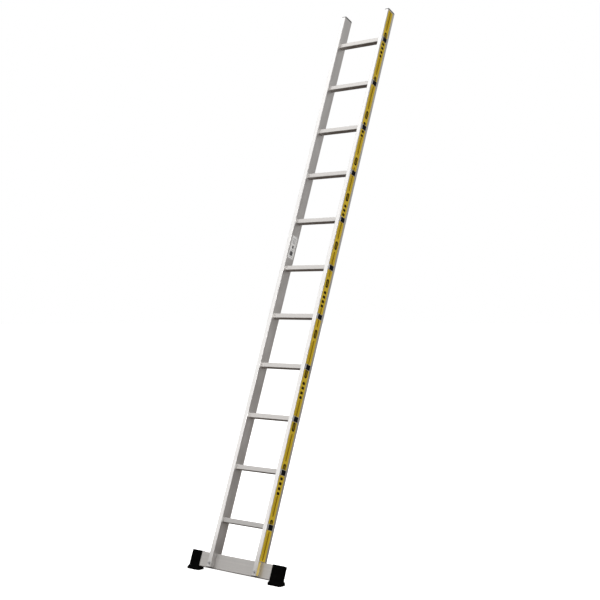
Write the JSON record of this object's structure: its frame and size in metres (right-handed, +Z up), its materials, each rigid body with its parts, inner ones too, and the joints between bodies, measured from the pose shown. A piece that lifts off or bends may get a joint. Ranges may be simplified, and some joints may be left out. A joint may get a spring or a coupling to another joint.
{
  "type": "leaning ladder",
  "caption": "Straight leaning ladder with box stiles, square hollow rungs and a wide stabiliser bar on flared rubber feet.",
  "frame": {"origin": "on the floor, under the middle of the ladder's bounding box as it leans; the feet stand forward of it, at -Y", "axes": "+Z up; X across the ladder, between the stiles; the climber's side faces -Y and the ladder leans back towards +Y"},
  "size_m": [0.628, 1.2235, 3.0575],
  "materials": {
    "stile_aluminium": "mill-finish extrusion, brushed along its length",
    "rung_aluminium": "mill-finish extrusion with a grooved tread",
    "bar_aluminium": "dull mill-finish extrusion",
    "steel": "zinc plated",
    "black_rubber": "moulded, matt",
    "black_plastic": "moulded",
    "grey_plastic": "moulded",
    "yellow_film": "printed film",
    "white_film": "plain printed label"
  },
  "bodies": {
    "root": {"left_stile": "stile_aluminium", "left_top_cap": "grey_plastic", "left_bottom_plug": "black_plastic", "left_rung_plugs": "black_plastic", "left_foot": "black_rubber", "left_stile_film": "yellow_film", "right_stile": "stile_aluminium", "right_top_cap": "grey_plastic", "right_bottom_plug": "black_plastic", "right_rung_plugs": "black_plastic", "right_foot": "black_rubber", "right_stile_film": "yellow_film", "rung_01": "rung_aluminium", "rung_02": "rung_aluminium", "rung_03": "rung_aluminium", "rung_04": "rung_aluminium", "rung_05": "rung_aluminium", "rung_06": "rung_aluminium", "rung_07": "rung_aluminium", "rung_08": "rung_aluminium", "rung_09": "rung_aluminium", "rung_10": "rung_aluminium", "rung_11": "rung_aluminium", "stabiliser_bar": "bar_aluminium", "bar_bolts": "steel", "bar_washers": "steel", "bar_nuts": "steel", "rating_label": "white_film"}
  },
  "joints": []
}
